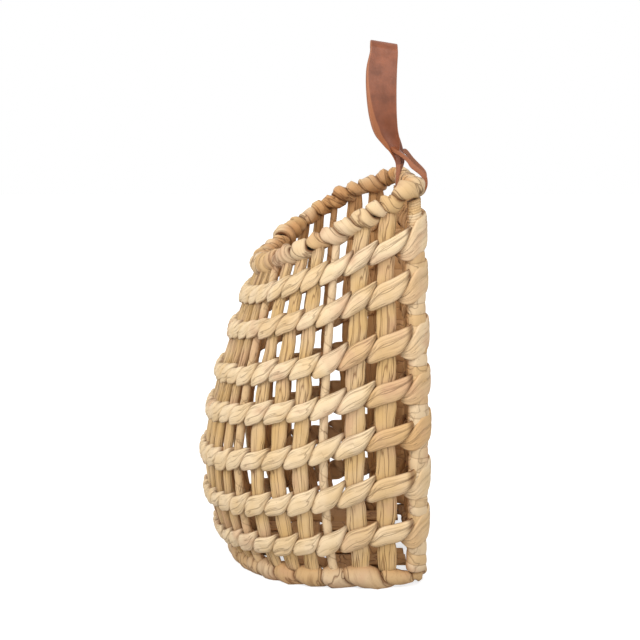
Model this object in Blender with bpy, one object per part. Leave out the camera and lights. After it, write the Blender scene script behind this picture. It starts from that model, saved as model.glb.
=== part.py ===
# Hanging wall basket woven from flattened water hyacinth stems, with a leather loop strap.
# Metres, +Z up, the flat back faces +Y, the round front faces -Y, the base stands on z = 0.
import math

import bpy
import numpy as np

for item in list(bpy.data.objects):
    bpy.data.objects.remove(item, do_unlink=True)

MM = 0.001

# Main sizes.
BACK_TOP = 331.5 * MM
DEPTH = 184.0 * MM
HALF_WIDTH = 127.0 * MM
ROWS = 7
RIM_LEVEL = ROWS + 1.0

# Wall form: shares of the main sizes, one per level: base border, seven woven rows, rim.
# The two height tables start at the first row, because the base border rests on the ground.
FRONT_HEIGHT_SHARES = (0.0875, 0.181, 0.290, 0.407, 0.502, 0.612, 0.704, 0.787)
BACK_HEIGHT_SHARES = (0.160, 0.2866, 0.413, 0.525, 0.6425, 0.781, 0.893, 1.0)
DEPTH_SHARES = np.array([0.863, 0.933, 0.982, 1.0, 0.967, 0.924, 0.859, 0.799, 0.739])
WIDTH_SHARES = np.array([0.890, 0.945, 0.984, 1.0, 0.996, 0.984, 0.965, 0.945, 0.921])
LEAN_SHARES = np.array([0.0, 0.0, 0.0, 0.0, 0.15, 0.35, 0.6, 0.8, 1.0])
BACK_LEAN = 5.5 * MM
STRAIGHT_SHARE = 0.455
FAR_RIM_RISE = 13.0 * MM
FAR_RISE_LEVELS = 3.0
CORNER_RADIUS = 18 * MM
WIDEST_LEVEL = 3

# Uprights by their share of the way from the back corner to the middle of the front.
SIDE_SHARES = (0.966, 0.895, 0.825, 0.757, 0.684, 0.616, 0.529, 0.449, 0.373, 0.300, 0.2015, 0.103)
FRONT_ROD_PLACE = 5
MIDDLE_ROD_PLACE = 9
BACK_SHARES = (0.262, 0.541, 0.820)
FRONT_STAKE_WIDTH = 10 * MM
MIDDLE_STAKE_WIDTH = 12.4 * MM
SIDE_STAKE_WIDTH = 16 * MM
BACK_STAKE_WIDTH = 14 * MM
STAKE_THICK = 6.2 * MM
BACK_STAKE_THICK = 6.9 * MM
ROD_RADIUS = 3.5 * MM
STAKE_SHOULDER_SHARE = 0.58

# Weaving strips: two strips cross between the uprights in each row.
STRIP_THICK = 3.8 * MM
STRIP_CLEARANCE = 1.0 * MM
INSIDE_EXTRA = 0.2 * MM
STRIP_OFFSET = 0.5 * STAKE_THICK + STRIP_CLEARANCE + 0.5 * STRIP_THICK
INSIDE_OFFSET = STRIP_OFFSET + INSIDE_EXTRA
STROKE_RISE = 5.0 * MM
STROKE_MIDDLE_HEIGHT = 18.0 * MM
INSIDE_MIDDLE_HEIGHT = 10.5 * MM
STROKE_END_HEIGHT = 9.0 * MM
CORNER_STROKE_SHARE = 0.92
STROKE_MARGIN = 0.7 * MM

# Rim and base border: a strip coiled round a wire.
RIM_WIRE_RADIUS = 3.3 * MM
BASE_WIRE_RADIUS = 2.9 * MM
COIL_INSIDE = 5.8 * MM
COIL_OUTSIDE = 9.4 * MM
RIM_TURNS = 40
BASE_TURNS = 36
COIL_GAP = 1.2 * MM
COIL_POINTS = 6
WIRE_POINTS = 40
END_GAP = 0.9 * MM
BASE_HEIGHT = COIL_OUTSIDE * math.cos(math.pi / COIL_POINTS)

# Woven floor.
FLOOR_STRIP_WIDTH = 27 * MM
FLOOR_STRIP_THICK = 4.3 * MM
FLOOR_CLEARANCE = 0.7 * MM
FLOOR_WAVE = 0.5 * (FLOOR_STRIP_THICK + FLOOR_CLEARANCE)
FLOOR_LIFT = 0.3 * MM
FLOOR_HEIGHT = BASE_HEIGHT + FLOOR_LIFT
FLOOR_ALONG_SHARES = np.array([-0.567, -0.2835, 0.0, 0.2835, 0.567])
FLOOR_ACROSS_SHARES = np.array([0.178, 0.354, 0.530, 0.706])
FLOOR_EDGE_GAP = 0.8 * MM
FLOOR_MARGIN = COIL_OUTSIDE + FLOOR_EDGE_GAP
FLOOR_FLAT = 0.5 * MM

# Leather strap, hitched round the back rod.
STRAP_WIDTH = 26.0 * MM
STRAP_THICK = 2.0 * MM
LOOP_TOP = 121 * MM
LOOP_HALF = 9.0 * MM
HITCH_DEPTH = 1.6 * MM
HITCH_BREADTH = 3.2 * MM
HITCH_CLEARANCE = 1.2 * MM
BIGHT_CLEARANCE = 0.8 * MM
LEG_CLEARANCE = 0.5 * MM
HITCH_RADIUS = COIL_OUTSIDE + HITCH_CLEARANCE + HITCH_DEPTH
BIGHT_RADIUS = HITCH_RADIUS + 2 * HITCH_DEPTH + BIGHT_CLEARANCE
LEG_OFFSET = HITCH_BREADTH + LEG_CLEARANCE
WRAP_OFFSET = LEG_OFFSET + 2 * HITCH_BREADTH + BIGHT_CLEARANCE
# Shares per leg station: height of the loop's height, distance in front of the rod, half band
# depth and half the distance between the legs of the strap's width, half breadth of its thickness.
LEG_SHARES = np.array([
    (0.926, 0.885, 0.460, 0.346, 0.50),
    (0.810, 0.958, 0.500, 0.475, 0.50),
    (0.665, 0.965, 0.492, 0.515, 0.50),
    (0.496, 0.912, 0.454, 0.445, 0.50),
    (0.372, 0.792, 0.385, 0.315, 0.60),
    (0.289, 0.640, 0.285, 0.220, 0.85),
    (0.231, 0.530, 0.180, 0.170, 1.15),
    (0.160, 0.500, 0.105, 0.148, 1.45),
    (0.070, 0.482, 0.062, 0.143, 1.60),
])


def level_value(table, level):
    """A smooth value between the levels of one table."""
    level = min(max(level, 0.0), len(table) - 1.0)
    low = min(int(level), len(table) - 2)
    part = level - low
    here = table[low]
    above = table[low + 1]
    under = table[low - 1] if low > 0 else 2 * here - above
    over = table[low + 2] if low + 2 < len(table) else 2 * above - here
    first = above - under
    second = 2 * under - 5 * here + 4 * above - over
    third = 3 * here - under - 3 * above + over
    return 0.5 * (2 * here + first * part + second * part ** 2 + third * part ** 3)


def height_tables():
    """Heights of the front and the back, one per level, from the base border to the rim."""
    front = [BASE_HEIGHT] + [share * BACK_TOP for share in FRONT_HEIGHT_SHARES]
    back = [BASE_HEIGHT] + [share * BACK_TOP for share in BACK_HEIGHT_SHARES]
    return np.array(front), np.array(back)


FRONT_HEIGHT, BACK_HEIGHT = height_tables()
FRONT_DEPTH = DEPTH_SHARES * DEPTH
SIDE_REACH = WIDTH_SHARES * HALF_WIDTH
LEANS = LEAN_SHARES * BACK_LEAN


def plan_lines(level):
    """Plan points from the front middle to the corner, and from the corner to the back middle."""
    depth = level_value(FRONT_DEPTH, level)
    half = level_value(SIDE_REACH, level)
    straight = STRAIGHT_SHARE * depth
    turn = np.linspace(math.pi / 2, 0, 60)
    front = np.stack([half * np.cos(turn), straight + (depth - straight) * np.sin(turn)], 1)
    turn = np.linspace(0, math.pi / 2, 25)
    round_x = half - CORNER_RADIUS + CORNER_RADIUS * np.cos(turn)
    round_y = CORNER_RADIUS - CORNER_RADIUS * np.sin(turn)
    corner = np.stack([round_x, round_y], 1)
    first = np.concatenate([front, corner[:13]])
    second = np.concatenate([corner[12:], [[0.0, 0.0]]])
    return depth, first, second


def along(line, share):
    """The point at a share of a line's length, and the line's length."""
    steps = np.hypot(*np.diff(line, axis=0).T)
    lengths = np.concatenate([[0.0], np.cumsum(steps)])
    want = share * lengths[-1]
    return np.interp(want, lengths, line[:, 0]), np.interp(want, lengths, line[:, 1]), lengths[-1]


def wall_point(turn, level, cache={}):
    """turn 0 front middle, 1 near corner, 2 back middle, 3 far corner, 4 front middle again."""
    turn = turn % 4.0
    side = 1.0
    if turn > 2.0:
        turn = 4.0 - turn
        side = -1.0
    key = round(level, 6)
    if key not in cache:
        cache[key] = plan_lines(level)
    depth, first, second = cache[key]
    x, front, _ = along(first, turn) if turn <= 1.0 else along(second, turn - 1.0)
    back_z = level_value(BACK_HEIGHT, level)
    front_z = level_value(FRONT_HEIGHT, level)
    lean = level_value(LEANS, level)
    share = front / depth
    height = back_z + (front_z - back_z) * share
    if side < 0:
        ramp = min(max((level - RIM_LEVEL) / FAR_RISE_LEVELS + 1.0, 0.0), 1.0)
        height += FAR_RIM_RISE * ramp * ramp * 4.0 * share * (1.0 - share)
    return np.array([side * x, -lean - (depth - lean) * share, height])


def unit(vector):
    return vector / np.linalg.norm(vector)


def wall_frame(turn, level):
    """Place, row direction, outward direction and upward direction on the wall."""
    small = 0.012
    place = wall_point(turn, level)
    row = unit(wall_point(turn + small, level) - wall_point(turn - small, level))
    low = max(level - 0.02, 0.0)
    high = min(level + 0.02, RIM_LEVEL)
    rise = wall_point(turn, high) - wall_point(turn, low)
    up = unit(rise)
    out = unit(np.cross(row, up))
    return place, row, out, up, np.linalg.norm(rise) / (high - low)


def level_out(turn, level, row, out):
    """Outward in the row's own plane, as long as one step away from the wall's face."""
    slope = level_value(FRONT_HEIGHT, level) - level_value(BACK_HEIGHT, level)
    slope = slope / level_value(FRONT_DEPTH, level)
    flat = unit(np.array([row[1], -row[0], 0.0]))
    flat[2] = -flat[1] * slope
    return flat / np.dot(flat, out)


def ring_length(level):
    points = np.array([wall_point(turn, level) for turn in np.linspace(0, 4, 161)])
    return np.sum(np.linalg.norm(np.diff(points, axis=0), axis=1))


FULL_LENGTH = ring_length(WIDEST_LEVEL)
LENGTHS = np.array([ring_length(level) for level in range(ROWS + 2)])


def width_factor(level):
    return level_value(LENGTHS, level) / FULL_LENGTH


def material(name, color, rough):
    made = bpy.data.materials.new(name)
    made.use_nodes = True
    surface = made.node_tree.nodes["Principled BSDF"]
    surface.inputs["Base Color"].default_value = (*color, 1.0)
    surface.inputs["Roughness"].default_value = rough
    return made


def make_object(name, points, faces, color, rough=0.8, origin=(0.0, 0.0, 0.0)):
    mesh = bpy.data.meshes.new(name)
    origin = np.array(origin)
    mesh.from_pydata([tuple(point - origin) for point in points], [], faces)
    mesh.update()
    made = bpy.data.objects.new(name, mesh)
    made.location = tuple(origin)
    bpy.context.scene.collection.objects.link(made)
    mesh.materials.append(material(name, color, rough))
    return made


def tube_faces(rings, sides, closed):
    """Faces between rings of points; open tubes get an end face each."""
    faces = []
    last = rings if closed else rings - 1
    for ring in range(last):
        here = ring * sides
        there = ((ring + 1) % rings) * sides
        for side in range(sides):
            beside = (side + 1) % sides
            faces.append((here + side, here + beside, there + beside, there + side))
    if not closed:
        faces.append(tuple(reversed(range(sides))))
        faces.append(tuple(range((rings - 1) * sides, rings * sides)))
    return faces


def turn_out(points, faces):
    """Flips the faces when the body faces inwards."""
    volume = 0.0
    middle = np.mean(points, axis=0)
    for face in faces:
        for step in range(1, len(face) - 1):
            one = points[face[0]] - middle
            two = points[face[step]] - middle
            three = points[face[step + 1]] - middle
            volume += np.dot(one, np.cross(two, three))
    if volume < 0:
        return [tuple(reversed(face)) for face in faces]
    return faces


def make_tube(name, sections, closed, color, rough=0.8, origin=(0.0, 0.0, 0.0)):
    points = [point for section in sections for point in section]
    faces = tube_faces(len(sections), len(sections[0]), closed)
    return make_object(name, points, turn_out(points, faces), color, rough, origin)


STEM = (0.72, 0.55, 0.36)
STRIP = (0.76, 0.60, 0.41)
WIRE = (0.25, 0.25, 0.26)
LEATHER = (0.36, 0.15, 0.09)


def upright_list():
    """Every upright: its turn, its width, whether it is a wrapped rod, and its name."""
    ends = []
    for place, share in enumerate(SIDE_SHARES):
        if place in (FRONT_ROD_PLACE, MIDDLE_ROD_PLACE):
            kind = (2 * ROD_RADIUS, True, "rod_front" if place == FRONT_ROD_PLACE else "rod_middle")
        elif place < FRONT_ROD_PLACE:
            kind = (FRONT_STAKE_WIDTH, False, f"stake_front_{place + 1}")
        elif place < MIDDLE_ROD_PLACE:
            kind = (MIDDLE_STAKE_WIDTH, False, f"stake_side_{place - 2}")
        else:
            kind = (SIDE_STAKE_WIDTH, False, f"stake_side_{place - 3}")
        ends.append((1.0 - share, *kind))
    ends.append((1.0, 2 * ROD_RADIUS, True, "rod_corner"))
    for place, share in enumerate(BACK_SHARES):
        ends.append((1.0 + share, BACK_STAKE_WIDTH, False, f"stake_back_{3 - place}"))
    near = [(*end[:3], end[3] + "_right") for end in ends]
    far = [(4.0 - end[0], *end[1:3], end[3] + "_left") for end in reversed(ends)]
    return near + far


UPRIGHTS = upright_list()


def end_level(turn, top):
    """The level where an upright meets the rim or the base border."""
    base = RIM_LEVEL if top else 0.0
    pace = wall_frame(turn, base)[4]
    share = (COIL_OUTSIDE + END_GAP) / pace
    return base - share if top else base + share


def make_upright(turn, width, is_rod, name):
    start = end_level(turn, False)
    stop = end_level(turn, True)
    rows = [float(level) for level in range(1, ROWS + 1)]
    bends = [] if "back" in name or width >= SIDE_STAKE_WIDTH else [0.5, 1.5, 2.5]
    levels = [start] + sorted(rows + bends) + [stop]
    sections = []
    for level in levels:
        place, row, out, up, _ = wall_frame(turn, level)
        factor = 1.0 if is_rod else width_factor(level)
        half = 0.5 * width * factor
        flat_thick = BACK_STAKE_THICK if "back" in name else STAKE_THICK
        thick = ROD_RADIUS if is_rod else 0.5 * flat_thick
        flat = 0.5 if is_rod else STAKE_SHOULDER_SHARE
        rise = 0.866 if is_rod else 1.0
        ring = [(1, 0), (flat, rise), (-flat, rise), (-1, 0), (-flat, -rise), (flat, -rise)]
        sections.append([place + half * a * row + thick * b * out for a, b in ring])
    make_tube(name, sections, False, STEM, 0.75)


def make_strip(level, first, name):
    """One weaving strip of a row: a closed loop that passes out and in by turns."""
    sections = []
    row_gap = level_value(BACK_HEIGHT, level + 0.5) - level_value(BACK_HEIGHT, level - 0.5)
    for place, end in enumerate(UPRIGHTS):
        turn, width, is_rod, label = end
        spot, row, out, up, _ = wall_frame(turn, float(level))
        out = level_out(turn, float(level), row, out)
        half = 0.5 * width * (1.0 if is_rod else width_factor(level)) + STROKE_MARGIN
        outside = (place + first) % 2 == 0
        side = 1.0 if outside else -1.0
        middle = STROKE_MIDDLE_HEIGHT if outside else INSIDE_MIDDLE_HEIGHT
        if "corner" in label and outside:
            middle = CORNER_STROKE_SHARE * row_gap
        for step, height in ((-1, STROKE_END_HEIGHT), (0, middle), (1, STROKE_END_HEIGHT)):
            away = STRIP_OFFSET if outside else -INSIDE_OFFSET
            core = spot + step * half * row + away * out
            core = core + side * step * STROKE_RISE * up
            deep = 0.5 * STRIP_THICK * out
            tall = 0.5 * height * up
            sections.append([core - deep - tall, core + deep - tall,
                             core + deep + tall, core - deep + tall])
    make_tube(name, sections, True, STRIP, 0.7)


def ring_frames(level, count=960):
    """Even steps along a ring: places with their outward and upward directions."""
    turns = np.linspace(0, 4, 1601)
    line = np.array([wall_point(turn, level) for turn in turns])
    lengths = np.concatenate([[0.0], np.cumsum(np.linalg.norm(np.diff(line, axis=0), axis=1))])
    even = np.linspace(0, lengths[-1], count, endpoint=False)
    places = np.stack([np.interp(even, lengths, line[:, axis]) for axis in range(3)], 1)
    ahead = np.roll(places, -6, axis=0) - np.roll(places, 6, axis=0)
    row = ahead / np.linalg.norm(ahead, axis=1)[:, None]
    flat = np.cross(row, np.array([0.0, 0.0, 1.0]))
    out = flat / np.linalg.norm(flat, axis=1)[:, None]
    up = np.cross(out, row)
    return lengths[-1], places, out, up


def ring_vertex(ring, length, angle, radius):
    total, places, out, up = ring
    spot = (length / total * len(places)) % len(places)
    low = int(spot) % len(places)
    high = (low + 1) % len(places)
    part = spot - int(spot)
    place = places[low] * (1 - part) + places[high] * part
    outward = unit(out[low] * (1 - part) + out[high] * part)
    upward = unit(up[low] * (1 - part) + up[high] * part)
    return place + radius * (math.cos(angle) * outward + math.sin(angle) * upward)


def make_coil(level, turns, name):
    ring = ring_frames(level)
    total = ring[0]
    pitch = total / turns
    half = 0.5 * (pitch - COIL_GAP)
    steps = COIL_POINTS * turns
    sections = []
    for step in range(steps + 1):
        shift = step if step < steps else step - 0.12
        angle = shift / COIL_POINTS * 2 * math.pi
        length = shift / COIL_POINTS * pitch + 0.5 * total - 0.75 * pitch
        sections.append([
            ring_vertex(ring, length - half, angle, COIL_INSIDE),
            ring_vertex(ring, length - half, angle, COIL_OUTSIDE),
            ring_vertex(ring, length + half, angle, COIL_OUTSIDE),
            ring_vertex(ring, length + half, angle, COIL_INSIDE),
        ])
    make_tube(name, sections, False, STRIP, 0.7)


def make_wire(level, radius, name):
    ring = ring_frames(level)
    sections = []
    for step in range(WIRE_POINTS):
        length = ring[0] * step / WIRE_POINTS
        sections.append([ring_vertex(ring, length, math.pi / 2 * corner, radius)
                         for corner in range(4)])
    made = make_tube(name, sections, True, WIRE, 0.45)
    made.data.materials[0].node_tree.nodes["Principled BSDF"].inputs["Metallic"].default_value = 1.0


def floor_edge():
    """The near half of the floor's edge, set in from the border."""
    depth, first, second = plan_lines(0.0)
    run = np.gradient(first, axis=0)
    run = run / np.linalg.norm(run, axis=1)[:, None]
    inward = np.stack([run[:, 1], -run[:, 0]], 1)
    return (first + FLOOR_MARGIN * inward)[:60]


def floor_reach(cross):
    """Half breadth of the floor at a distance in front of the back."""
    edge = floor_edge()
    return float(np.interp(cross, edge[::-1, 1], edge[::-1, 0]))


def floor_front(x):
    """Distance from the back to the floor's front edge at a sideways place."""
    edge = floor_edge()
    return float(np.interp(abs(x), edge[:, 0], edge[:, 1]))


def make_floor_strip(name, fixed, start, stop, crossings, lengthwise, parity):
    half = 0.5 * FLOOR_STRIP_WIDTH
    flat = 0.5 * FLOOR_STRIP_WIDTH + FLOOR_FLAT
    stations = []
    for place, crossing in enumerate(crossings):
        if not start < crossing < stop:
            continue
        side = 1.0 if (place + parity) % 2 == 0 else -1.0
        stations.append((crossing - flat, side * FLOOR_WAVE))
        stations.append((crossing + flat, side * FLOOR_WAVE))
    stations = [(max(min(spot, stop), start), wave) for spot, wave in stations]
    if stations[0][0] > start + FLOOR_FLAT:
        stations = [(start, stations[0][1])] + stations
    if stations[-1][0] < stop - FLOOR_FLAT:
        stations = stations + [(stop, stations[-1][1])]
    sections = []
    for spot, wave in stations:
        ring = []
        for a, b in ((-1, -1), (1, -1), (1, 1), (-1, 1)):
            z = FLOOR_HEIGHT + wave + 0.5 * b * FLOOR_STRIP_THICK
            if lengthwise:
                ring.append(np.array([fixed + a * half, -spot, z]))
            else:
                ring.append(np.array([spot, -fixed + a * half, z]))
        sections.append(ring)
    make_tube(name, sections, False, STRIP, 0.75)


def make_floor():
    along = FLOOR_ALONG_SHARES * HALF_WIDTH
    across = FLOOR_ACROSS_SHARES * DEPTH
    for place, x in enumerate(along):
        outer = abs(x) + 0.5 * FLOOR_STRIP_WIDTH
        stop = floor_front(outer)
        name = f"floor_strip_long_{place + 1}"
        make_floor_strip(name, x, FLOOR_MARGIN, stop, across, True, place)
    for place, front in enumerate(across):
        near = floor_reach(front - 0.5 * FLOOR_STRIP_WIDTH)
        far = floor_reach(front + 0.5 * FLOOR_STRIP_WIDTH)
        reach = min(near, far)
        name = f"floor_strip_cross_{place + 1}"
        make_floor_strip(name, front, -reach, reach, along, False, place + 1)


def rod_point(x, angle, radius):
    """A point round the back rod; angle 0 points back, 90 up, 180 to the front."""
    turn = math.radians(angle)
    return np.array([x, radius * math.cos(turn) - BACK_LEAN, BACK_TOP + radius * math.sin(turn)])


def strap_half():
    """Stations of the near leg from the loop top down to the middle of the bight."""
    sizes = (LOOP_TOP, STRAP_WIDTH, STRAP_WIDTH, STRAP_WIDTH, STRAP_THICK)
    legs = LEG_SHARES * np.array(sizes)
    stations = []
    crown = LOOP_TOP - LOOP_HALF
    for angle in (90.0, 62.0, 34.0):
        turn = math.radians(angle)
        place = np.array([LOOP_HALF * math.cos(turn), -legs[0][1] - BACK_LEAN,
                          BACK_TOP + crown + LOOP_HALF * math.sin(turn)])
        stations.append((place, np.array([0.0, -1.0, 0.0]), legs[0][2], legs[0][4]))
    for order, leg in enumerate(legs):
        below = legs[min(order + 1, len(legs) - 1)]
        above = legs[max(order - 1, 0)]
        run = unit(np.array([0.0, above[1] - below[1], below[0] - above[0]]))
        wide = np.cross(run, np.array([1.0, 0.0, 0.0]))
        spot = np.array([leg[3], -leg[1] - BACK_LEAN, BACK_TOP + leg[0]])
        stations.append((spot, wide, leg[2], leg[4]))
    wraps = [(angle, LEG_OFFSET, HITCH_RADIUS) for angle in (180, 215, 250, 285, 320)]
    slide = (WRAP_OFFSET - LEG_OFFSET) / 3
    wraps += [(350, LEG_OFFSET + slide, HITCH_RADIUS), (380, WRAP_OFFSET - slide, HITCH_RADIUS)]
    wraps += [(410, WRAP_OFFSET, HITCH_RADIUS), (445, WRAP_OFFSET, HITCH_RADIUS)]
    climb = (HITCH_RADIUS + BIGHT_RADIUS) / 2
    wraps += [(480, WRAP_OFFSET, climb), (512, WRAP_OFFSET, BIGHT_RADIUS)]
    wraps += [(530, 0.92 * WRAP_OFFSET, BIGHT_RADIUS), (546, 0.6 * WRAP_OFFSET, BIGHT_RADIUS)]
    wraps += [(553, 0.0, BIGHT_RADIUS)]
    for angle, x, radius in wraps:
        place = rod_point(x, angle, radius)
        wide = unit(place - rod_point(x, angle, 0.0))
        stations.append((place, wide, HITCH_DEPTH, HITCH_BREADTH))
    return stations


def make_strap(name):
    half = strap_half()
    flip = np.array([-1.0, 1.0, 1.0])
    mirror = [(place * flip, wide * flip, deep, broad) for place, wide, deep, broad in half[1:-1]]
    stations = half + list(reversed(mirror))
    count = len(stations)
    sections = []
    for index, (place, wide, deep, broad) in enumerate(stations):
        before = stations[index - 1][0]
        after = stations[(index + 1) % count][0]
        run = unit(after - before)
        side = unit(np.cross(run, wide))
        sections.append([place - deep * wide - broad * side, place + deep * wide - broad * side,
                         place + deep * wide + broad * side, place - deep * wide + broad * side])
    origin = (0.0, -BACK_LEAN, BACK_TOP)
    make_tube(name, sections, True, LEATHER, 0.5, origin)


for upright in UPRIGHTS:
    make_upright(*upright)
for row_number in range(1, ROWS + 1):
    make_strip(row_number, 0, f"row_{row_number}_strip_a")
    make_strip(row_number, 1, f"row_{row_number}_strip_b")
make_wire(RIM_LEVEL, RIM_WIRE_RADIUS, "rim_wire")
make_coil(RIM_LEVEL, RIM_TURNS, "rim_wrap")
make_wire(0.0, BASE_WIRE_RADIUS, "base_wire")
make_coil(0.0, BASE_TURNS, "base_wrap")
make_floor()
make_strap("strap")
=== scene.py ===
import math

import bmesh
import bpy
import numpy as np
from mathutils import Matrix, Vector


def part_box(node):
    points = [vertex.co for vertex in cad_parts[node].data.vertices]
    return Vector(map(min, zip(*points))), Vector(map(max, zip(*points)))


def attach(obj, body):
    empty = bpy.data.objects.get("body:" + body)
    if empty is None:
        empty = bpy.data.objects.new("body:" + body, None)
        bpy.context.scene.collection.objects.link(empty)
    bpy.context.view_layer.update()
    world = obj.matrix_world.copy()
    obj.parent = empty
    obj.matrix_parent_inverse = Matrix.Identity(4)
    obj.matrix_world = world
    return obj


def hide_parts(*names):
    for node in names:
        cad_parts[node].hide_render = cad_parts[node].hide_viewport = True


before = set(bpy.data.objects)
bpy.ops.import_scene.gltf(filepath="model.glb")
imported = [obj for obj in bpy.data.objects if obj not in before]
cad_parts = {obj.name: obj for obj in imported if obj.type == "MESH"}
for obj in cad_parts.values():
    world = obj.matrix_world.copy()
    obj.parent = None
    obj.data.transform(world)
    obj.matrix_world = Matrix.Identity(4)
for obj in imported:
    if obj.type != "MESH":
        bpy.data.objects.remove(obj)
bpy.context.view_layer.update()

mm = 0.001

# The wall, in levels: base border, seven rows, rim. Sizes are in mm.
wall = {
    "backTop": 331.5, "depth": 184.0, "halfWidth": 127.0, "backLean": 5.5,
    "rows": 7, "rim": 8.0, "widthLevel": 3, "borderRadius": 9.4, "borderSides": 6,
    "frontHeightShares": [0.0875, 0.181, 0.290, 0.407, 0.502, 0.612, 0.704, 0.787],
    "backHeightShares": [0.160, 0.2866, 0.413, 0.525, 0.6425, 0.781, 0.893, 1.0],
    "depthShares": [0.863, 0.933, 0.982, 1.0, 0.967, 0.924, 0.859, 0.799, 0.739],
    "widthShares": [0.890, 0.945, 0.984, 1.0, 0.996, 0.984, 0.965, 0.945, 0.921],
    "leanShares": [0.0, 0.0, 0.0, 0.0, 0.15, 0.35, 0.6, 0.8, 1.0],
    "straightShare": 0.455, "cornerRadius": 18, "farRise": 13.0, "farRiseLevels": 3.0,
    "sideShares": [0.966, 0.895, 0.825, 0.757, 0.684, 0.616,
                   0.529, 0.449, 0.373, 0.300, 0.2015, 0.103],
    "backShares": [0.262, 0.541, 0.820],
}
baseHeight = wall["borderRadius"] * math.cos(math.pi / wall["borderSides"])
frontHeight = [baseHeight] + [share * wall["backTop"] for share in wall["frontHeightShares"]]
backHeight = [baseHeight] + [share * wall["backTop"] for share in wall["backHeightShares"]]
frontDepth = [share * wall["depth"] for share in wall["depthShares"]]
sideReach = [share * wall["halfWidth"] for share in wall["widthShares"]]
leans = [share * wall["backLean"] for share in wall["leanShares"]]


def curvePoint(before, here, after, later, part):
    # smooth curve through a row of values, part of the way from here to after
    return 0.5 * (2 * here + (after - before) * part
                  + (2 * before - 5 * here + 4 * after - later) * part ** 2
                  + (3 * here - before - 3 * after + later) * part ** 3)


def levelValue(table, level):
    # a table has one value for each level
    level = min(max(level, 0.0), len(table) - 1.0)
    low = min(int(level), len(table) - 2)
    here, above = table[low], table[low + 1]
    under = table[low - 1] if low > 0 else 2 * here - above
    over = table[low + 2] if low + 2 < len(table) else 2 * above - here
    return curvePoint(under, here, above, over, level - low)


planCache = {}


def planLines(level):
    key = round(level, 5)
    if key not in planCache:
        depth = levelValue(frontDepth, level)
        half = levelValue(sideReach, level)
        radius = wall["cornerRadius"]
        straight = wall["straightShare"] * depth
        turn = np.linspace(math.pi / 2, 0, 60)
        front = np.stack([half * np.cos(turn), straight + (depth - straight) * np.sin(turn)], 1)
        turn = np.linspace(0, math.pi / 2, 25)
        corner = np.stack([half - radius + radius * np.cos(turn),
                           radius - radius * np.sin(turn)], 1)
        halfway = len(corner) // 2
        sideLine = np.concatenate([front, corner[:halfway + 1]])
        backLine = np.concatenate([corner[halfway:], [[0.0, 0.0]]])
        lines = []
        for line in (sideLine, backLine):
            lengths = np.concatenate([[0.0], np.cumsum(np.hypot(*np.diff(line, axis=0).T))])
            lines.append((line, lengths))
        planCache[key] = (depth, lines)
    return planCache[key]


def wallSpots(turns, level):
    # turn 0 front middle, 1 near corner, 2 back middle, 3 far corner
    depth, lines = planLines(level)
    turns = np.mod(np.atleast_1d(turns), 4.0)
    side = np.where(turns > 2.0, -1.0, 1.0)
    fold = np.where(turns > 2.0, 4.0 - turns, turns)
    (lineA, lengthA), (lineB, lengthB) = lines
    wantA = np.clip(fold, 0, 1) * lengthA[-1]
    wantB = np.clip(fold - 1, 0, 1) * lengthB[-1]
    near = fold <= 1.0
    x, front = [np.where(near, np.interp(wantA, lengthA, lineA[:, axis]),
                         np.interp(wantB, lengthB, lineB[:, axis])) for axis in (0, 1)]
    backZ = levelValue(backHeight, level)
    frontZ = levelValue(frontHeight, level)
    lean = levelValue(leans, level)
    share = front / depth
    ramp = min(max((level - wall["rim"]) / wall["farRiseLevels"] + 1.0, 0.0), 1.0)
    arch = np.where(side < 0, wall["farRise"] * ramp * ramp * 4 * share * (1 - share), 0.0)
    height = backZ + (frontZ - backZ) * share + arch
    return np.stack([side * x, -lean - (depth - lean) * share, height], 1)


def unit(vectors):
    return vectors / np.linalg.norm(vectors, axis=-1, keepdims=True)


def wallFrames(turns, level, reach=0.012):
    # place, along the row, outwards, upwards, in mm
    place = wallSpots(turns, level)
    row = unit(wallSpots(turns + reach, level) - wallSpots(turns - reach, level))
    low, high = max(level - 0.02, 0.0), min(level + 0.02, wall["rim"])
    rise = wallSpots(turns, high) - wallSpots(turns, low)
    up = unit(rise)
    out = unit(np.cross(row, up))
    return place, row, out, up, np.linalg.norm(rise, axis=1) / (high - low)


def ringLength(level):
    spots = wallSpots(np.linspace(0, 3.9999, 400), level)
    return float(np.sum(np.linalg.norm(np.diff(spots, axis=0), axis=1)))


ringLengths = [ringLength(level) for level in range(wall["rows"] + 2)]


def widthFactor(level):
    return levelValue(ringLengths, level) / ringLengths[wall["widthLevel"]]


stakeWidths = {"front": 10.0, "side": 12.4, "besideCorner": 16.0, "back": 14.0}


def uprightList():
    # turn, width of a stake in mm, kind, CAD node
    ends = []
    for place, share in enumerate(wall["sideShares"]):
        if place == 5:
            ends.append((1 - share, None, "rod", "rod_front"))
        elif place == 9:
            ends.append((1 - share, None, "rod", "rod_middle"))
        elif place < 5:
            ends.append((1 - share, stakeWidths["front"], "stake", f"stake_front_{place + 1}"))
        elif place < 9:
            ends.append((1 - share, stakeWidths["side"], "stake", f"stake_side_{place - 2}"))
        else:
            width = stakeWidths["besideCorner"]
            ends.append((1 - share, width, "stake", f"stake_side_{place - 3}"))
    ends.append((1.0, None, "corner", "rod_corner"))
    for place, share in enumerate(wall["backShares"]):
        ends.append((1 + share, stakeWidths["back"], "stake", f"stake_back_{3 - place}"))
    near = [(*end[:3], end[3] + "_right") for end in ends]
    far = [(4 - end[0], *end[1:3], end[3] + "_left") for end in reversed(ends)]
    return near + far


uprights = uprightList()


def addObject(name, data):
    thing = bpy.data.objects.new(name, data)
    bpy.context.scene.collection.objects.link(thing)
    return thing


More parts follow.
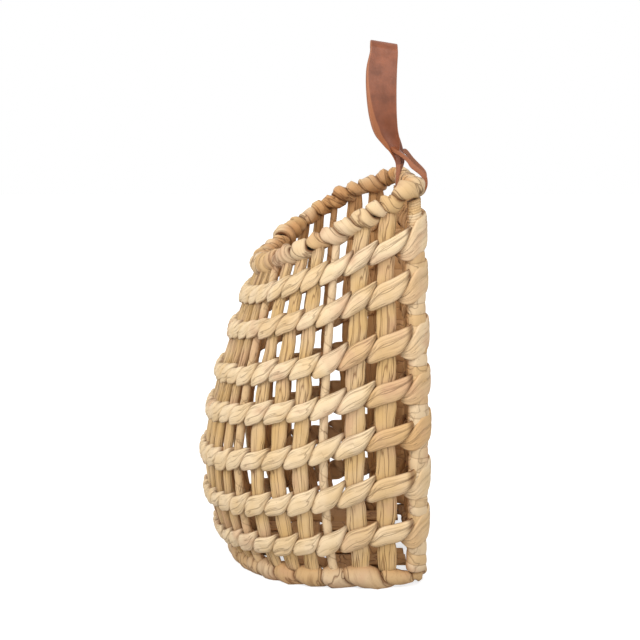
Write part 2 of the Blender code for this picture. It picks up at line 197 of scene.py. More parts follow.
# Meshes: a grid is wrapped along a path, its seams are welded and open ends closed
def wrapGrid(name, across, along, shape, closedAlong=False):
    # shape(u, v) gives places in mm and a dict of point values; u runs along, v across
    mesh = bpy.data.meshes.new(name)
    work = bmesh.new()
    bmesh.ops.create_grid(work, x_segments=along, y_segments=across, size=1.0)
    layer = work.loops.layers.uv.new("wrap")
    for face in work.faces:
        for loop in face.loops:
            loop[layer].uv = ((loop.vert.co.x + 1) / 2, (loop.vert.co.y + 1) / 2)
    work.to_mesh(mesh)
    work.free()
    spots = np.empty(len(mesh.vertices) * 3)
    mesh.vertices.foreach_get("co", spots)
    spots = spots.reshape(-1, 3)
    u, v = (spots[:, 0] + 1) / 2, (spots[:, 1] + 1) / 2
    places, values = shape(u, v)
    mesh.vertices.foreach_set("co", (places * mm).ravel())
    for key, numbers in values.items():
        layer = mesh.attributes.new(key, "FLOAT", "POINT")
        layer.data.foreach_set("value", np.asarray(numbers, dtype=np.float32))
    work = bmesh.new()
    work.from_mesh(mesh)
    bmesh.ops.remove_doubles(work, verts=work.verts, dist=0.00001)
    if not closedAlong:
        rim = [edge for edge in work.edges if edge.is_boundary]
        bmesh.ops.holes_fill(work, edges=rim, sides=0)
    bmesh.ops.recalc_face_normals(work, faces=work.faces)
    work.to_mesh(mesh)
    work.free()
    mesh.shade_smooth()
    return addObject(name, mesh)


def settle(piece, body, material, nodes):
    piece.data.materials.append(material)
    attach(piece, body)
    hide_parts(*nodes)


def ease(numbers):
    numbers = np.clip(numbers, 0, 1)
    return numbers * numbers * (3 - 2 * numbers)


def hashWave(numbers, seed):
    # smooth random curve, -1 to 1
    rng = np.random.default_rng(seed)
    total = np.zeros_like(numbers, dtype=float)
    for size, weight in ((1.0, 0.55), (2.3, 0.3), (5.1, 0.15)):
        pace = 0.8 + 0.4 * rng.random()
        phase = rng.random() * 6.28
        total += weight * np.sin(numbers * size * pace * 2 * math.pi + phase)
    return total


def circle(v):
    angle = v * 2 * math.pi
    return np.cos(angle), np.sin(angle)


def boxed(numbers, power):
    # a sine or cosine drawn out, so that a round section gets flatter faces
    return np.sign(numbers) * np.abs(numbers) ** power


# Shader building
class Signal:
    def __init__(self, board, socket):
        self.board, self.socket = board, socket

    def mix(self, operation, other):
        return self.board.add("ShaderNodeMath", {"operation": operation}, {0: self, 1: other})

    def __add__(self, other):
        return self.mix("ADD", other)

    def __radd__(self, other):
        return self.mix("ADD", other)

    def __sub__(self, other):
        return self.mix("SUBTRACT", other)

    def __mul__(self, other):
        return self.mix("MULTIPLY", other)

    def __rmul__(self, other):
        return self.mix("MULTIPLY", other)


class Board:
    def __init__(self, name):
        self.material = bpy.data.materials.new(name)
        self.material.use_nodes = True
        self.tree = self.material.node_tree
        self.surface = self.tree.nodes["Principled BSDF"]

    def add(self, kind, settings, sockets, output=0):
        node = self.tree.nodes.new(kind)
        for key, value in settings.items():
            setattr(node, key, value)
        for key, value in sockets.items():
            self.plug(node.inputs[key], value)
        return Signal(self, node.outputs[output])

    def plug(self, socket, value):
        if isinstance(value, Signal):
            self.tree.links.new(value.socket, socket)
        elif isinstance(value, (tuple, list)) and len(value) == 3 and socket.type == "RGBA":
            socket.default_value = (*value, 1)
        else:
            socket.default_value = value

    def set(self, key, value):
        self.plug(self.surface.inputs[key], value)

    def value(self, name):
        return self.add("ShaderNodeAttribute", {"attribute_name": name}, {}, 2)

    def blend(self, factor, low, high):
        settings = {"data_type": "RGBA", "clamp_factor": True}
        return self.add("ShaderNodeMix", settings, {0: factor, 6: low, 7: high}, 2)

    def noise(self, vector, scale, detail, rough):
        sockets = {"Vector": vector, "Scale": scale, "Detail": detail, "Roughness": rough}
        return self.add("ShaderNodeTexNoise", {}, sockets)

    def stretched(self, vector, scale):
        return self.add("ShaderNodeMapping", {}, {"Vector": vector, "Scale": scale})

    def band(self, signal, low, high):
        sockets = {"Value": signal, 1: low, 2: high}
        return self.add("ShaderNodeMapRange", {"clamp": True}, sockets)


# pale and tan of each kind of piece
stemTones = {
    "strip": ((0.71, 0.55, 0.35), (0.565, 0.36, 0.18)),
    "stake": ((0.62, 0.45, 0.255), (0.54, 0.345, 0.16)),
    "border": ((0.64, 0.48, 0.30), (0.55, 0.36, 0.175)),
}
# colours, the shares they are mixed in by, and the ranges of noise where they show. The brown mixed
# in on inside and back faces is painted shade, and the crease colour also paints the shade given by
# the dark attribute
stemLook = {
    "golden": (0.55, 0.35, 0.14), "goldenRange": (0.42, 0.66),
    "rosy": (0.49, 0.28, 0.16), "rosyRange": (0.46, 0.3), "rosyShare": 0.6,
    "inward": (0.52, 0.255, 0.09), "insideShadeShare": 0.74,
    "crease": (0.135, 0.05, 0.013), "darkRange": (0.1, 1.0),
    "fibreRange": (0.53, 0.74), "fibreShare": 0.46, "speckRange": (0.66, 0.74), "speckShare": 0.3,
    "toneRange": (0.25, 0.8), "patchScale": 38.0, "speckScale": 620.0,
    "coarseAlong": 0.6, "coarseAcross": 0.22,
    "roughness": 0.62, "fibreRoughness": 0.2, "bump": 0.7, "bumpDepth": 0.0014, "specular": 0.28,
}
# fibres: how often they repeat along and across a stem. Lines: the few dark ones between them.
stemKinds = {
    "weavingStrip": {
        "tones": "strip", "golden": 0.45, "fibreAlong": 16.0, "fibreAcross": 34.0,
        "lineWidth": 0.013, "lineDepth": 0.42,
    },
    "stakeStem": {
        "tones": "stake", "golden": 0.85, "fibreAlong": 5.0, "fibreAcross": 40.0,
        "lineWidth": 0.02, "lineDepth": 0.7,
    },
    "wrappedRod": {
        "tones": "border", "golden": 0.15, "fibreAlong": 24.0, "fibreAcross": 8.0,
        "lineWidth": 0.012, "lineDepth": 0.3,
    },
    "borderStrip": {
        "tones": "border", "golden": 0.4, "fibreAlong": 70.0, "fibreAcross": 26.0,
        "lineWidth": 0.02, "lineDepth": 0.7,
    },
    "floorStrip": {
        "tones": "stake", "golden": 0.5, "fibreAlong": 7.0, "fibreAcross": 30.0,
        "lineWidth": 0.02, "lineDepth": 0.6,
    },
}


def stemMaterial(name):
    board = Board(name)
    look, kind = stemLook, stemKinds[name]
    wrap = board.add("ShaderNodeUVMap", {"uv_map": "wrap"}, {})
    spot = board.add("ShaderNodeTexCoord", {}, {}, 3)
    tone = board.value("tone")
    dark = board.value("dark")
    inward = board.value("inward")
    along, across = kind["fibreAlong"], kind["fibreAcross"]
    fibres = board.noise(board.stretched(wrap, (along, across, 1.0)), 1.0, 4.0, 0.6)
    coarseScale = (along * look["coarseAlong"], across * look["coarseAcross"], 1.0)
    coarse = board.noise(board.stretched(wrap, coarseScale), 1.0, 2.0, 0.5)
    patch = board.noise(spot, look["patchScale"], 2.0, 0.5)
    speck = board.noise(spot, look["speckScale"], 2.0, 0.6)
    base = board.blend(board.band(tone, *look["toneRange"]), *stemTones[kind["tones"]])
    golden = board.band(patch, *look["goldenRange"]) * kind["golden"]
    base = board.blend(golden, base, look["golden"])
    rosy = board.band(patch, *look["rosyRange"]) * look["rosyShare"]
    base = board.blend(rosy, base, look["rosy"])
    lines = board.add("ShaderNodeMath", {"operation": "ABSOLUTE"}, {0: coarse - 0.5})
    lines = board.band(lines, kind["lineWidth"], 0.0)
    # painted shade: inside and back faces turn a deeper brown
    base = board.blend(inward * look["insideShadeShare"], base, look["inward"])
    # the dark attribute's painted shade is mixed in with the real fibre lines and specks
    creases = (
        board.band(fibres, *look["fibreRange"]) * look["fibreShare"],
        lines * kind["lineDepth"],
        board.band(speck, *look["speckRange"]) * look["speckShare"],
        board.band(dark, *look["darkRange"]),
    )
    for crease in creases:
        base = board.blend(crease, base, look["crease"])
    board.set("Base Color", base)
    board.set("Roughness", look["roughness"] + look["fibreRoughness"] * fibres)
    height = fibres * 0.5 + coarse * 0.5 + speck * 0.1 - lines * 0.6
    sockets = {"Strength": look["bump"], "Distance": look["bumpDepth"], "Height": height}
    board.set("Normal", board.add("ShaderNodeBump", {}, sockets))
    board.set("Specular IOR Level", look["specular"])
    return board.material


stripMaterial = stemMaterial("weavingStrip")
stakeMaterial = stemMaterial("stakeStem")
rodMaterial = stemMaterial("wrappedRod")
borderMaterial = stemMaterial("borderStrip")
floorMaterial = stemMaterial("floorStrip")
print("materials ready")


# Weaving strips: two strands per row cross between the uprights. A stroke lies over one upright:
# its top edge climbs from a blunt low start, its lower edge climbs to a tip over the next start.
strip = {
    "offset": 6.5, "thickness": 3.8, "curl": 1.2,
    "tallBase": 8.0, "tallShare": 0.41, "innerTall": 20.0, "innerShare": 0.62, "leastTall": 1.6,
    "cornerShare": 0.66, "topCornerShare": 0.85, "tallSpread": 0.07, "drift": 0.7,
    "slopeSpread": 0.035, "cornerSlide": 0.2, "perStake": 20, "around": 36,
    "foldDepth": 0.8, "foldWidth": 0.09, "foldSpread": 0.6, "seamWidth": 0.07, "seams": 3,
    "frontPale": 0.7, "lightPaintReach": 150, "meetDark": 0.75, "edgeDark": 1.35, "foldDark": 0.3,
}
# places along a stroke, and the shares of its height there, from its middle; then the side it is on
tipAt, startAt = 0.74, 0.34
strokeCurves = {
    "leaveLow": ([0.0, 0.2, 0.34, 0.5, tipAt, 0.9], [-0.5, -0.46, -0.34, -0.02, 0.5, 0.35]),
    "leaveHigh": ([0.0, 0.3, 0.66, tipAt, 0.9], [0.48, 0.54, 0.66, 0.62, 0.45]),
    "enterHigh": ([0.12, startAt, 0.5, 0.68, 0.8, 1.0], [-0.1, -0.22, 0.01, 0.38, 0.44, 0.48]),
    "enterLow": ([0.12, startAt, 0.46, 0.7, 1.0], [-0.3, -0.46, -0.58, -0.57, -0.5]),
    "leaveSide": ([0, 0.40, 0.54, 0.68, 0.84, 1.0], [1, 1, 0.8, 0.2, -0.75, -1]),
    "enterSide": ([0, 0.16, 0.32, 0.46, 0.60, 1.0], [-1, -0.75, 0.2, 0.8, 1, 1]),
}


def smoothRing(line):
    # mean of five neighbours along a closed line
    return np.convolve(np.concatenate([line[-2:], line, line[:2]]), np.ones(5) / 5, "valid")


def weaveStrip(level, first):
    count = len(uprights)
    perStake = strip["perStake"]
    stations = count * perStake
    rng = np.random.default_rng(level * 10 + first)
    shared = np.random.default_rng(level * 10 + 5)
    turns = np.array([end[0] for end in uprights])
    spots = wallSpots(turns, float(level))
    gaps = np.linalg.norm(np.roll(spots, -1, axis=0) - spots, axis=1)
    nextTurns = np.append(turns[1:], 4.0 + turns[0])
    side = np.array([1.0 if (place + first) % 2 == 0 else -1.0 for place in range(count)])
    outer = side > 0
    pitch = (gaps + np.roll(gaps, 1)) / 2
    rowGap = levelValue(backHeight, level + 0.5) - levelValue(backHeight, level - 0.5)
    corner = np.array([end[2] == "corner" for end in uprights])
    tall = strip["tallBase"] + strip["tallShare"] * pitch
    tall = tall * (1 + strip["tallSpread"] * shared.standard_normal(count))
    cornerShare = strip["topCornerShare"] if level == wall["rows"] else strip["cornerShare"]
    tall = np.where(corner, cornerShare * rowGap, tall)
    drift = np.where(corner, 0.0, shared.normal(0, strip["drift"], count))
    slide = shared.normal(0, strip["slopeSpread"], count)
    slide = slide + strip["cornerSlide"] * np.roll(corner, -1)
    # painted light: strokes towards the front get a paler tone
    litFront = strip["frontPale"] * np.clip(-spots[:, 1] / strip["lightPaintReach"], 0, 1)
    tones = rng.random(count) - litFront
    folds = rng.uniform(-strip["foldSpread"], strip["foldSpread"], count)
    seamAt = rng.uniform(-0.7, 0.7, strip["seams"])
    seamSize = rng.uniform(0.4, 1.0, strip["seams"])
    step = np.arange(stations)
    here = step // perStake
    there = (here + 1) % count
    part = (step % perStake) / perStake
    turn = turns[here] + (nextTurns[here] - turns[here]) * part
    place, row, out, up, _ = wallFrames(turn, float(level), 0.02)
    leaving = outer[here]
    spread = part - slide[here]

    def strokeCurve(edge):
        leave, enter = strokeCurves["leave" + edge], strokeCurves["enter" + edge]
        return np.where(leaving, np.interp(spread, *leave), np.interp(spread, *enter))

    inner = 0.5 * strip["innerShare"]
    nearInner = np.where(leaving, ease((spread - 0.8) / 0.2), ease((0.2 - spread) / 0.2))
    low = strokeCurve("Low") * (1 - nearInner) - inner * nearInner
    high = strokeCurve("High") * (1 - nearInner) + inner * nearInner
    own = np.where(leaving, tall[here], tall[there])
    other = np.where(leaving, tall[there], tall[here])
    scale = own * (1 - nearInner) + np.minimum(other, strip["innerTall"]) * nearInner
    sway = drift[here] * (1 - part) + drift[there] * part
    middle = 0.5 * (high + low) * scale + sway
    height = np.maximum((high - low) * scale, strip["leastTall"])
    sideNow, middle, height = [smoothRing(line) for line in (strokeCurve("Side"), middle, height)]
    owner = np.where(leaving, np.where(part < 0.8, here, there), np.where(part > 0.2, there, here))
    tone, fold = tones[owner], folds[owner]
    atPost = corner[owner] & outer[owner]
    cornerOwner = smoothRing(atPost.astype(float))
    cornerStart = smoothRing((atPost & ~leaving).astype(float))
    # where one stroke's tip meets the next one's start, and painted shade falls
    meet = np.where(leaving, np.exp(-((part - 0.72) / 0.1) ** 2),
                    np.exp(-((part - 0.33) / 0.08) ** 2))

    def shape(u, v):
        index = np.round(u * stations).astype(int) % stations
        c, s = circle(v)
        atCorner = cornerOwner[index]
        flat = 1 - 2 * np.minimum(v, 1 - v) / 0.5
        a = boxed(c, 0.7) * (1 - atCorner) + flat * atCorner
        plate = (1 - np.abs(a) ** 5) ** 0.4
        t = np.sign(s) * (np.abs(s) ** 0.55 * (1 - atCorner) + plate * atCorner)
        sideHere = sideNow[index]
        curl = -strip["curl"] * sideHere * a * a * (1 - atCorner)
        away = a - fold[index] - 0.3 * (u * count % 1 - 0.5)
        groove = np.exp(-(away / strip["foldWidth"]) ** 2)
        face = np.sign(s) == np.sign(sideHere)
        deep = 0.5 * strip["thickness"] * t * (1 - 0.2 * a * a)
        seams = 0
        for at, size in zip(seamAt, seamSize):
            away = a - at - 0.06 * np.sin(u * count * 9 + 5 * at)
            seams = seams + size * np.exp(-(away / strip["seamWidth"]) ** 2)
        groove = np.clip(groove * (1 - atCorner) + atCorner * seams, 0, 1.2)
        deep = deep - np.where(face, strip["foldDepth"] * groove * np.abs(s), 0) * np.sign(s)
        spot = place[index] + (strip["offset"] * sideHere + curl + deep)[:, None] * out[index]
        spot = spot + (middle[index] + 0.5 * height[index] * a)[:, None] * up[index]
        # painted shade along the strip's edges, where tip meets start and in the fold grooves
        edge = np.clip((np.abs(a) - 0.92) / 0.08, 0, 1) * 0.3
        dark = np.clip(strip["meetDark"] * meet[index] + strip["edgeDark"] * edge
                       + np.where(face, strip["foldDark"] * groove, 0), 0, 1)
        # painted shade on the inner strand, the back faces and the start of each corner stroke
        inward = np.where(sideHere < 0, 1.0, np.where(s < 0, 0.8, 0.25 * cornerStart[index]))
        return spot, {"tone": tone[index], "dark": dark, "inward": inward}

    name = f"row{level}Strip{'AB'[first]}"
    piece = wrapGrid(name, strip["around"], stations, shape, closedAlong=True)
    settle(piece, "basket", stripMaterial, [f"row_{level}_strip_{'ab'[first]}"])


for level in range(1, wall["rows"] + 1):
    weaveStrip(level, 0)
    weaveStrip(level, 1)
print("weaving strips ready")


# Stakes and wrapped rods
stake = {
    "thickness": 6.4, "along": 110, "around": 44, "pinch": 0.2, "endGap": 6.0, "sway": 0.9,
    "crease": 1.1, "creases": 4, "creaseWidth": 0.075, "dark": 0.8,
}
rod = {
    "radius": 3.6, "along": 300, "around": 20, "turnsPerRow": 2.1, "ridge": 0.55,
    "cornerAlong": 900, "seamWidth": 0.07, "dark": 0.6,
}
# the corner post: wide flat wraps up to the last row, thin ones on the neck under the rim
post = {
    "wide": 8.6, "deep": 6.3, "ridge": 0.7, "turns": 4.3, "neck": 5.2, "neckTurns": 17.0,
    "neckLevel": 7.05, "neckFade": 0.12, "backward": 1.7, "neckBackward": 2.2, "tones": 200,
}


def makeUpright(order, end):
    turn, width, kind, node = end
    isStake, isPost = kind == "stake", kind == "corner"
    along = stake["along"] if isStake else rod["cornerAlong"] if isPost else rod["along"]
    around = stake["around"] if isStake else rod["around"]
    paceLow = float(wallFrames(np.array([turn]), 0.0)[4][0])
    paceHigh = float(wallFrames(np.array([turn]), wall["rim"])[4][0])
    start, stop = stake["endGap"] / paceLow, wall["rim"] - stake["endGap"] / paceHigh
    levels = np.linspace(start, stop, along + 1)
    frames = [wallFrames(np.array([turn]), float(level)) for level in levels]
    place, row, out = [np.array([found[part][0] for found in frames]) for part in (0, 1, 2)]
    rng = np.random.default_rng(500 + order)
    rowNear = np.abs(levels - np.round(levels))
    bulge = 1 + stake["pinch"] * (np.sin(np.clip(rowNear * 2, 0, 1) * math.pi / 2) - 0.5)
    factor = np.array([widthFactor(level) for level in levels])
    creaseAt = rng.uniform(-0.7, 0.7, stake["creases"])
    creaseSize = rng.uniform(0.35, 1.0, stake["creases"])
    tone = 0.25 + 0.5 * rng.random()

    def stakeShape(index, angle, level):
        c, s = np.cos(angle), np.sin(angle)
        a, t = boxed(c, 0.8), boxed(s, 0.55)
        wobble = 1 + 0.1 * hashWave(level * 0.55, 900 + order)
        half = 0.5 * width * factor[index] * bulge[index] * wobble
        groove = np.zeros_like(a)
        for seed, (at, size) in enumerate(zip(creaseAt, creaseSize)):
            drift = 0.1 * hashWave(level * 0.5, 40 * order + seed)
            fade = np.clip(0.55 + 0.6 * hashWave(level * 0.35, 77 * order + seed), 0, 1)
            groove += fade * size * np.exp(-((a - at - drift) / stake["creaseWidth"]) ** 2)
        groove = np.clip(groove, 0, 1.2)
        deep = 0.5 * stake["thickness"] * t * (1 - 0.25 * a * a)
        deep = deep - stake["crease"] * groove * np.sign(s) * np.abs(s) ** 0.3
        sway = stake["sway"] * hashWave(level * 0.4, 300 + order)
        spot = place[index] + (sway + half * a)[:, None] * row[index] + deep[:, None] * out[index]
        # the dark value is painted shade in the creases
        return spot, np.clip(groove * 0.75, 0, 1) * stake["dark"], np.full(len(level), tone)

    def wrappedShape(index, angle, level):
        c, s = np.cos(angle), np.sin(angle)
        if isPost:
            above = np.maximum(level - post["neckLevel"], 0)
            twist = (level - above) * post["turns"] + above * post["neckTurns"]
            twist = twist - angle / (2 * math.pi) + 0.25 * np.sin(level * 4.7 + order)
        else:
            twist = level * rod["turnsPerRow"] - angle / (2 * math.pi)
        saw = np.mod(twist, 1.0)
        ridge = (post["ridge"] if isPost else rod["ridge"]) * (np.sin(saw * math.pi) ** 0.4 - 0.6)
        wide = deep = rod["radius"]
        power, tones = 1.0, np.full(len(level), tone)
        if isPost:
            atNeck = ease((level - post["neckLevel"]) / post["neckFade"])
            grow = 1 + 0.1 * hashWave(level * 0.6, 60 + order)
            wide = (post["wide"] * (1 - atNeck) + post["neck"] * atNeck) * grow
            deep = post["deep"] * (1 - atNeck) + post["neck"] * atNeck
            power = 0.75
            wrapTones = np.random.default_rng(order).random(post["tones"])
            tones = wrapTones[np.floor(twist + 5).astype(int) % post["tones"]]
        spot = place[index] + (boxed(c, power) * (wide + ridge))[:, None] * row[index]
        spot = spot + (boxed(s, power) * (deep + ridge))[:, None] * out[index]
        if isPost:
            spot[:, 1] += post["backward"] * (1 - atNeck) + post["neckBackward"] * atNeck
        # painted shade in the seams between the wraps
        seam = (rod["seamWidth"] - np.minimum(saw, 1 - saw)) / rod["seamWidth"]
        return spot, np.clip(seam, 0, 1) * rod["dark"], tones

    def shape(u, v):
        index = np.round(u * along).astype(int)
        angle = v * 2 * math.pi
        level = levels[index]
        spot, dark, tones = (stakeShape if isStake else wrappedShape)(index, angle, level)
        # painted shade under the borders
        near = np.minimum(np.abs(level - start), np.abs(stop - level)) * 34
        dark = np.clip(dark + 0.35 * np.clip(1 - near / 6, 0, 1), 0, 1)
        # painted shade on the stem's inner face
        return spot, {"tone": tones, "dark": dark, "inward": (np.sin(angle) < -0.2).astype(float)}

    name = "".join(word.capitalize() for word in node.split("_"))
    piece = wrapGrid(name[0].lower() + name[1:], around, along, shape)
    settle(piece, "basket", stakeMaterial if isStake else rodMaterial, [node])


for order, end in enumerate(uprights):
    makeUpright(order, end)
print("stakes and rods ready")


# Rim and base border: a strip wound round the ring, one block for each time round it.
border = {
    "inside": 3.9, "perBlock": 22, "around": 22, "cornerReach": 17.0,
    "broadRidge": 0.35, "fineRidge": 0.25,
}
# the brown shift and its spread set how much painted shade the inner side of each block gets; shade
# is a painted darkening over the whole border
rimBorder = {
    "outside": 8.9, "pitch": 14.0, "uneven": 0.35, "sizeSpread": 0.1, "shift": 0.5, "zigzag": 1.0,
    "pillow": 3.9, "slant": 0.3, "tiltSpread": 0.09,
    "cornerSlim": -0.16, "cornerLift": 3.2, "backSlim": 0.15,
    "brown": -0.42, "insideShadeSpread": 0.9, "shade": 0.0, "facet": 1.3, "seed": 11,
}
baseBorder = {
    "outside": 9.7, "pitch": 22.0, "uneven": 0.45, "sizeSpread": 0.07, "shift": 0.8, "zigzag": 0.0,
    "pillow": 3.8, "slant": 0.2, "tiltSpread": 0.05,
    "cornerSlim": 0.1, "cornerLift": 0.0, "backSlim": 0.32,
    "brown": 0.45, "insideShadeSpread": 0.3, "shade": 0.3, "facet": 0.5, "seed": 12,
}


def ringFrames(level, count=1200):
    turns = np.linspace(0, 4, 2401)
    line = wallSpots(np.clip(turns, 0, 3.99999), level)
    lengths = np.concatenate([[0.0], np.cumsum(np.linalg.norm(np.diff(line, axis=0), axis=1))])
    even = np.linspace(0, lengths[-1], count, endpoint=False)
    places = np.stack([np.interp(even, lengths, line[:, axis]) for axis in range(3)], 1)
    row = unit(np.roll(places, -9, axis=0) - np.roll(places, 9, axis=0))
    out = unit(np.cross(row, np.array([0.0, 0.0, 1.0])))
    up = np.cross(out, row)
    return lengths[-1], places, out, up


def borderCoil(name, level, node, form, onGround=False):
    total, places, out, up = ringFrames(level)
    blocks = int(round(total / form["pitch"]))
    perBlock = border["perBlock"]
    stations = blocks * perBlock
    rng = np.random.default_rng(form["seed"])
    widths = 1 + form["uneven"] * rng.uniform(-1, 1, blocks)
    ends = np.concatenate([[0.0], np.cumsum(widths / widths.sum() * total)])
    sizes = 1 + form["sizeSpread"] * rng.standard_normal(blocks + 1)
    sizes[-1] = sizes[0]
    tones = rng.random(blocks + 1)
    corners = wallSpots([1.0, 3.0], level)
    away = np.min(np.linalg.norm(places[:, None] - corners[None], axis=2), axis=1)
    atFront = np.clip((-places[:, 1] - 14) / 16, 0, 1)
    nearCorner = np.exp(-(away / border["cornerReach"]) ** 2)
    slim = (1 - form["cornerSlim"] * nearCorner) * (1 - form["backSlim"] * (1 - atFront))
    places = places + form["cornerLift"] * nearCorner[:, None] * up
    ridges = rng.uniform(0, 6.28, blocks + 1)
    tilts = form["tiltSpread"] * rng.standard_normal(blocks + 1)
    tilts[-1] = tilts[0]
    shifts = form["shift"] * rng.standard_normal((blocks + 1, 2)).clip(-1.4, 1.4)
    shifts[::2, 1] += form["zigzag"]
    shifts[1::2, 1] -= form["zigzag"]
    shifts[-1] = shifts[0]
    blockShadeShifts = form["brown"] + form["insideShadeSpread"] * (rng.random(blocks + 1) - 0.5)

    def shape(u, v):
        index = np.round(u * stations).astype(int) % stations
        c, s = circle(v)
        a = boxed(c, 0.65)
        t = (boxed(s, 0.7) + 1) / 2
        block = index / perBlock
        around = -block * 2 * math.pi
        blockHere, knots = np.mod(block, blocks), np.arange(blocks + 1)
        tilt = np.interp(blockHere, knots, tilts)
        turned = np.mod(block + 0.25, 1.0)
        stepped = np.floor(block + 0.25) - 0.25 + ease((turned - 0.25) / 0.5)
        along = form["slant"] * block + (1 - form["slant"]) * stepped
        along = np.mod(along + 0.55 * a + tilt * np.sin(2 * math.pi * block), blocks)
        length = np.interp(along, knots, ends)
        size = np.interp(blockHere, knots, sizes)
        spotAt = np.mod(length / total * len(places), len(places))
        lower = spotAt.astype(int) % len(places)
        upper = (lower + 1) % len(places)
        part = (spotAt - spotAt.astype(int))[:, None]
        outer = form["outside"] * size * slim[lower] - form["pillow"] * np.abs(a) ** 2.2
        owner = (block + 0.5).astype(int) % blocks
        ridge = ridges[owner]
        facet = form["facet"] * (1 - a ** 4) * np.sin(a * 4 + ridge)
        facet = facet * np.sin(2 * around + 3 * ridge)
        outer = outer - facet - border["broadRidge"] * np.sin(a * 9 + ridge)
        outer = outer - border["fineRidge"] * np.sin(a * 17 + 2 * ridge)
        radius = border["inside"] + (outer - border["inside"]) * t
        place, outward, upward = [line[lower] * (1 - part) + line[upper] * part
                                  for line in (places, out, up)]
        outward, upward = unit(outward), unit(upward)
        spot = place + (radius * np.cos(around))[:, None] * outward
        spot = spot + (radius * np.sin(around))[:, None] * upward
        for way, direction in enumerate((outward, upward)):
            nudge = np.interp(blockHere, knots, shifts[:, way]) * atFront[lower]
            spot = spot + nudge[:, None] * direction
        if onGround:
            spot[:, 2] = np.maximum(spot[:, 2], 0.0)
        # painted shade where blocks meet, and over the whole block by the shade amount
        dark = np.maximum(np.clip((np.abs(a) - 0.72) / 0.24, 0, 1) ** 0.8, form["shade"])
        # painted shade on the inner side of the coil, more or less for each block
        inward = np.clip(0.5 - np.cos(around) + blockShadeShifts[owner], 0, 1)
        return spot, {"tone": tones[owner], "dark": dark, "inward": inward}

    piece = wrapGrid(name, border["around"], stations, shape, closedAlong=True)
    settle(piece, "basket", borderMaterial, [node])


borderCoil("rimBlocks", wall["rim"], "rim_wrap", rimBorder)
borderCoil("baseBlocks", 0.0, "base_wrap", baseBorder, onGround=True)
print("borders ready")


# Floor strips
floorStrips = {
    "width": 27, "thickness": 4.3, "wave": 2.5, "height": baseHeight + 0.3,
    "ridge": 0.25, "ridgeRoom": 0.3, "stations": 90, "around": 32,
    "along": [share * wall["halfWidth"] for share in (-0.567, -0.2835, 0.0, 0.2835, 0.567)],
    "across": [share * wall["depth"] for share in (0.178, 0.354, 0.530, 0.706)],
}


def floorStrip(node):
    low, high = [np.array(corner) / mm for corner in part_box(node)]
    lengthwise = "long" in node
    axis = 1 if lengthwise else 0
    other = 1 - axis
    number = int(node.split("_")[-1])
    crossings = [-place for place in floorStrips["across"]] if lengthwise else floorStrips["along"]
    parity = (number - 1) if lengthwise else number
    sides = [1.0 if (place + parity) % 2 == 0 else -1.0 for place in range(len(crossings))]
    pairs = sorted(zip(crossings, sides))
    knots = np.array([pair[0] for pair in pairs])
    waves = np.array([pair[1] for pair in pairs])
    stations = floorStrips["stations"]
    middle = (low[other] + high[other]) / 2
    spots = np.linspace(low[axis], high[axis], stations + 1)
    cut = np.array([np.interp(spot, knots, waves) for spot in spots])
    lift = floorStrips["wave"] * np.sin(np.clip(cut * 1.6, -1, 1) * math.pi / 2)
    rng = np.random.default_rng(700 + number + 10 * lengthwise)
    tone = rng.random()

    def shape(u, v):
        index = np.round(u * stations).astype(int)
        c, s = circle(v)
        a, t = boxed(c, 0.6), boxed(s, 0.5)
        spot = np.zeros((len(u), 3))
        spot[:, axis] = spots[index]
        spot[:, other] = middle + a * floorStrips["width"] / 2
        ridge = floorStrips["ridge"] * np.sin(a * 14 + 2 * tone) * np.abs(s)
        half = floorStrips["thickness"] / 2 - floorStrips["ridgeRoom"]
        spot[:, 2] = floorStrips["height"] + lift[index] + t * half + ridge
        # the whole floor gets the painted inside shade
        values = {"tone": np.full(len(u), tone), "dark": np.zeros(len(u)), "inward": np.ones(len(u))}
        return spot, values

    name = "floorStrip" + ("Long" if lengthwise else "Cross") + str(number)
    piece = wrapGrid(name, floorStrips["around"], stations, shape)
    settle(piece, "basket", floorMaterial, [node])


for node in sorted(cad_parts):
    if node.startswith("floor_strip"):
        floorStrip(node)
print("floor ready")


# Leather strap
strap = {
    # height over the rod, distance in front of it, half depth, half breadth, half between legs, cup
    "legs": [
        (112.0, 23.0, 12.0, 1.0, 9.0, 0.0), (98.0, 24.9, 13.0, 1.0, 12.3, 0.3),
        (80.5, 25.1, 12.8, 1.0, 13.4, 0.8), (60.0, 23.7, 11.8, 1.0, 11.6, 2.0),
        (45.0, 20.6, 10.0, 1.1, 8.4, 3.4), (35.0, 15.9, 7.3, 1.3, 6.4, 3.0),
        (28.0, 13.3, 4.4, 1.5, 5.2, 1.6), (18.0, 10.3, 2.3, 2.0, 4.2, 0.4),
        (7.5, 10.3, 1.7, 2.8, 3.7, 0.0),
    ],
    # the far leg lies this much nearer the wall, from the neck down
    "farShift": [(45.0, 0.0), (35.0, 1.5), (28.0, 3.8), (18.0, 4.0), (7.5, 0.8), (0.0, 0.0)],
    "loopTop": 121.0, "loopHalf": 9.0, "crownTilt": 0.16,
    "rodHeight": wall["backTop"], "rodPlace": -wall["backLean"],
    "hitchRadius": 10.9, "looseRadius": 13.4, "wrapOffset": 10.6, "legOffset": 3.7,
    "farLoose": 5.0, "farLooseRise": 15, "farLooseFrom": -6,
    "hitchDepth": 1.3, "looseDepth": 2.2, "hitchBreadth": 3.0, "around": 96, "fine": 14,
    # the bight: sideways, distance in front of the rod, height over it
    "bight": [(10.4, -2.3, 14.8), (10.0, 2.4, 20.5), (9.0, 7.2, 24.8),
              (7.4, 11.2, 28.0), (4.2, 14.4, 30.5), (0.0, 15.4, 31.0)],
    "bightCentre": (4.0, 8.0),
}


